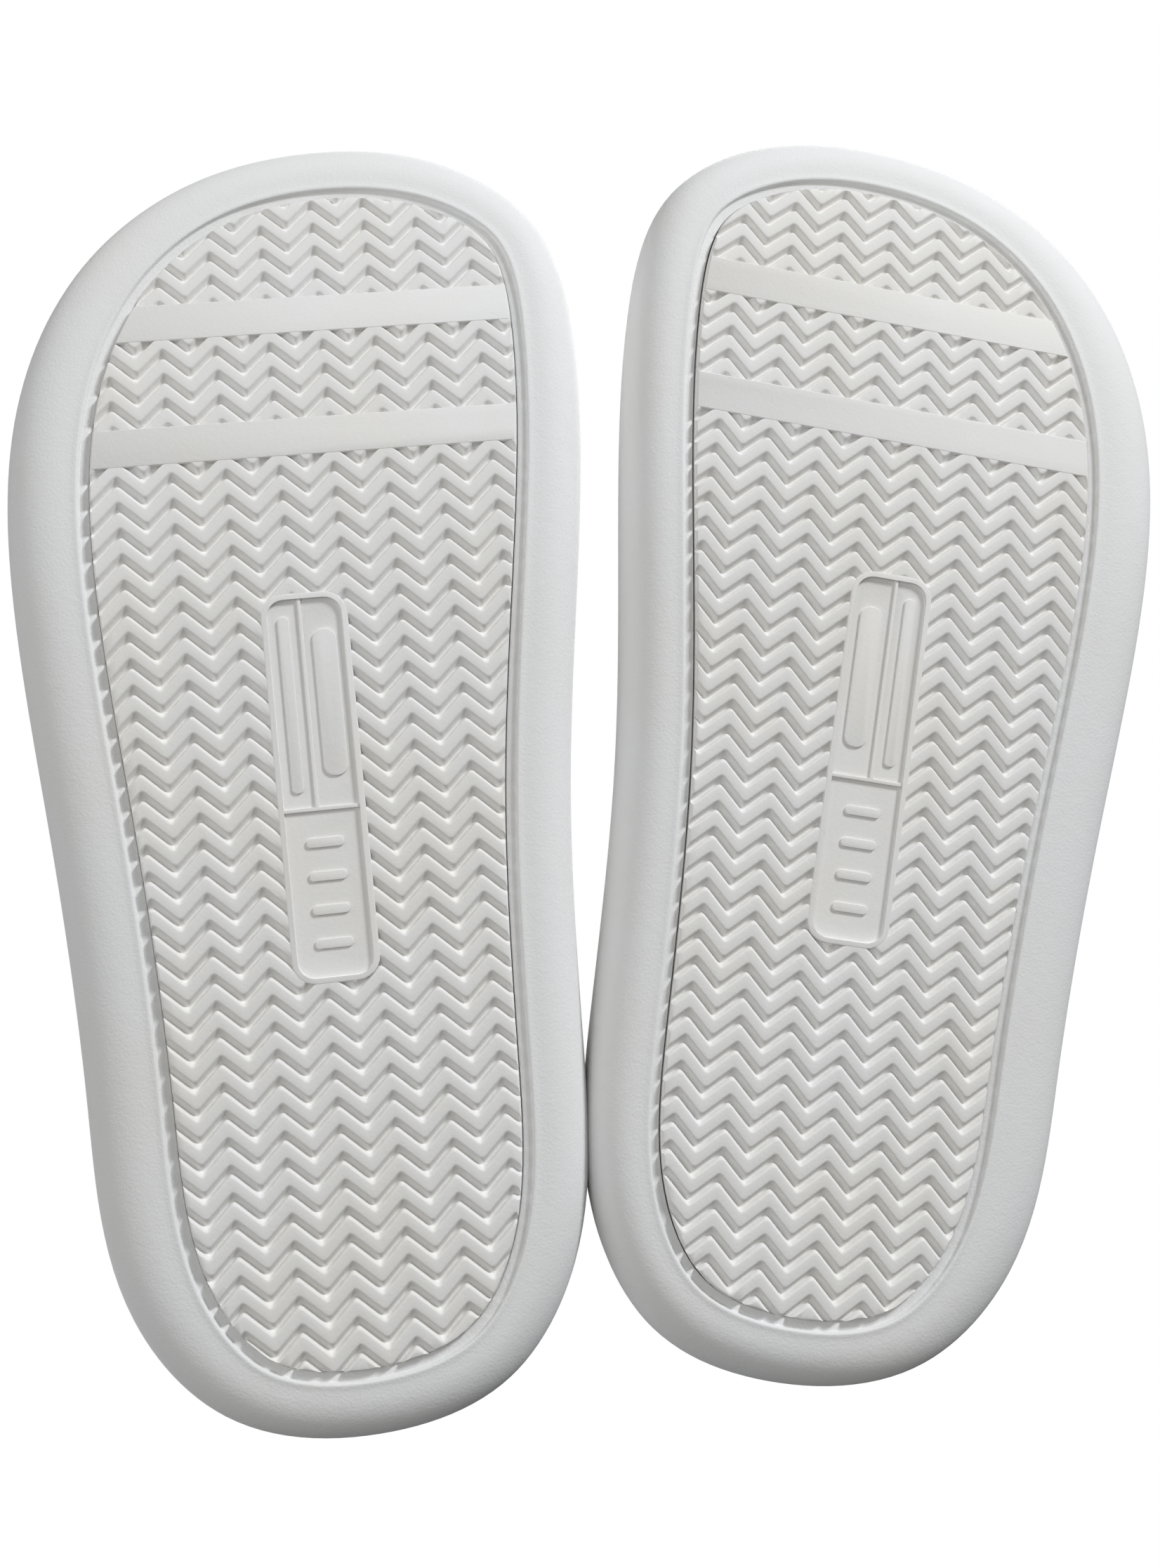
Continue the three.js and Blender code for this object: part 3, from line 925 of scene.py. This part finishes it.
class SLIDES_OT_stage(bpy.types.Operator):
    """Set the camera under the soles, the floor and the lights"""

    bl_idname = "slides.stage"
    bl_label = "Camera, floor and light"

    # The lens as a share of the sensor, then where the camera stands and how it is turned.
    focal_share = 2102 / 2233
    sensor = 36
    eye = (-0.0396, 0.0362, -0.3360)
    right = (0.9951, -0.0002, -0.0990)
    down = (0.0078, 0.9970, 0.0766)

    # The floor's height, its own faint light, and where it starts and ends fading to white.
    floor_height = -0.2 * MM
    floor_glow = 0.45
    floor_fades = (0.5, 2.2)

    def execute(self, context):
        self.camera(context.scene)
        self.floor(context.scene.slides_stage)
        self.world(context.scene)
        stage = context.scene.slides_stage
        self.light("key", (1.1, -1.25, -0.8), 0.45, stage.key_power, (0.96, 0.98, 1.0))
        self.light("below", (-0.6, -0.1, -1.35), 1.2, 0.22 * stage.key_power, (1.0, 0.985, 0.955))
        self.light("side", (-1.3, -0.4, -0.55), 0.8, 0.13 * stage.key_power, (0.98, 0.99, 1.0))
        self.light("top", (0.4, -0.95, 1.0), 0.6, stage.top_power, (1.0, 0.99, 0.97))
        self.light("top_back", (-0.9, 0.8, 1.1), 0.9, 0.3 * stage.top_power, (0.95, 0.98, 1.0))
        context.scene.view_settings.view_transform = "Standard"
        return {"FINISHED"}

    def camera(self, scene):
        data = bpy.data.cameras.new("camera")
        data.sensor_width = self.sensor
        data.lens = self.focal_share * self.sensor
        data.clip_start = 0.01
        data.clip_end = 50
        camera = bpy.data.objects.new("camera", data)
        right = Vector(self.right).normalized()
        down = Vector(self.down).normalized()
        turn = Matrix((right, -down, -right.cross(down))).transposed()
        camera.matrix_world = Matrix.Translation(self.eye) @ turn.to_4x4()
        scene.collection.objects.link(camera)
        scene.camera = camera

    def floor(self, stage):
        """A pale floor that shows from above only, so that the soles can be seen from below."""
        bm = bmesh.new()
        bmesh.ops.create_grid(bm, x_segments=1, y_segments=1, size=6)
        bmesh.ops.translate(bm, vec=(0, 0, self.floor_height), verts=bm.verts)
        floor = to_object(bm, "floor")
        recipe = Recipe("floor")
        matt = recipe.add("ShaderNodeBsdfDiffuse", None, {"Color": (*stage.floor_colour, 1.0)})
        glow = recipe.add("ShaderNodeEmission", None, {"Strength": self.floor_glow})
        pale = recipe.add(
            "ShaderNodeAddShader", None, {0: recipe.out(matt), 1: recipe.out(glow)}
        )
        clear = recipe.add("ShaderNodeBsdfTransparent")
        seen_from_above = 1 - recipe.out(recipe.add("ShaderNodeNewGeometry"), "Backfacing")
        away = recipe.add(
            "ShaderNodeVectorMath", {"operation": "LENGTH"}, {0: recipe.place()}
        )
        near = 1 - recipe.between(recipe.out(away, "Value"), *self.floor_fades)
        mix = recipe.add(
            "ShaderNodeMixShader", None,
            {0: seen_from_above * near, 1: recipe.out(clear), 2: recipe.out(pale)},
        )
        recipe.add("ShaderNodeOutputMaterial", None, {"Surface": recipe.out(mix)})
        floor.data.materials.append(recipe.material)
        floor.visible_diffuse = False
        floor.visible_glossy = False
        floor.visible_transmission = False
        floor.visible_shadow = False

    def world(self, scene):
        """White behind everything, with an even light of its own strength."""
        world = bpy.data.worlds.new("studio")
        world.use_nodes = True
        tree = world.node_tree
        tree.nodes.clear()
        path = tree.nodes.new("ShaderNodeLightPath")
        white = tree.nodes.new("ShaderNodeBackground")
        white.inputs["Color"].default_value = (1, 1, 1, 1)
        fill = tree.nodes.new("ShaderNodeBackground")
        fill.inputs["Color"].default_value = (0.97, 0.985, 1, 1)
        fill.inputs["Strength"].default_value = scene.slides_stage.fill
        mix = tree.nodes.new("ShaderNodeMixShader")
        out = tree.nodes.new("ShaderNodeOutputWorld")
        tree.links.new(path.outputs["Is Camera Ray"], mix.inputs[0])
        tree.links.new(fill.outputs[0], mix.inputs[1])
        tree.links.new(white.outputs[0], mix.inputs[2])
        tree.links.new(mix.outputs[0], out.inputs["Surface"])
        scene.world = world

    def light(self, name, place, size, power, colour):
        """A round lamp, turned to the middle of the pair."""
        data = bpy.data.lights.new(name, "AREA")
        data.shape = "DISK"
        data.size = size
        data.energy = power
        data.color = colour
        lamp = bpy.data.objects.new(name, data)
        lamp.location = place
        lamp.rotation_euler = (-Vector(place)).to_track_quat("-Z", "Y").to_euler()
        bpy.context.scene.collection.objects.link(lamp)


class SLIDES_PT_panel(bpy.types.Panel):
    """Settings and steps for the pair of slides"""

    bl_idname = "SLIDES_PT_panel"
    bl_label = "Foam slides"
    bl_space_type = "VIEW_3D"
    bl_region_type = "UI"
    bl_category = "Slides"

    def draw(self, context):
        for name, group in SETTINGS:
            box = self.layout.box()
            for key in group.__annotations__:
                box.prop(getattr(context.scene, name), key)
        for step in STEPS:
            self.layout.operator(step.bl_idname)


STEPS = (
    SLIDES_OT_midsoles,
    SLIDES_OT_treads,
    SLIDES_OT_footbeds,
    SLIDES_OT_straps,
    SLIDES_OT_linings,
    SLIDES_OT_stage,
)


def register():
    for name, group in SETTINGS:
        bpy.utils.register_class(group)
        setattr(bpy.types.Scene, name, bpy.props.PointerProperty(type=group))
    for step in STEPS:
        bpy.utils.register_class(step)
    bpy.utils.register_class(SLIDES_PT_panel)


def unregister():
    bpy.utils.unregister_class(SLIDES_PT_panel)
    for step in reversed(STEPS):
        bpy.utils.unregister_class(step)
    for name, group in reversed(SETTINGS):
        delattr(bpy.types.Scene, name)
        bpy.utils.unregister_class(group)


def main():
    register()
    bpy.ops.slides.midsoles()
    bpy.ops.slides.treads()
    bpy.ops.slides.footbeds()
    bpy.ops.slides.straps()
    bpy.ops.slides.linings()
    bpy.ops.slides.stage()


if __name__ == "__main__":
    main()
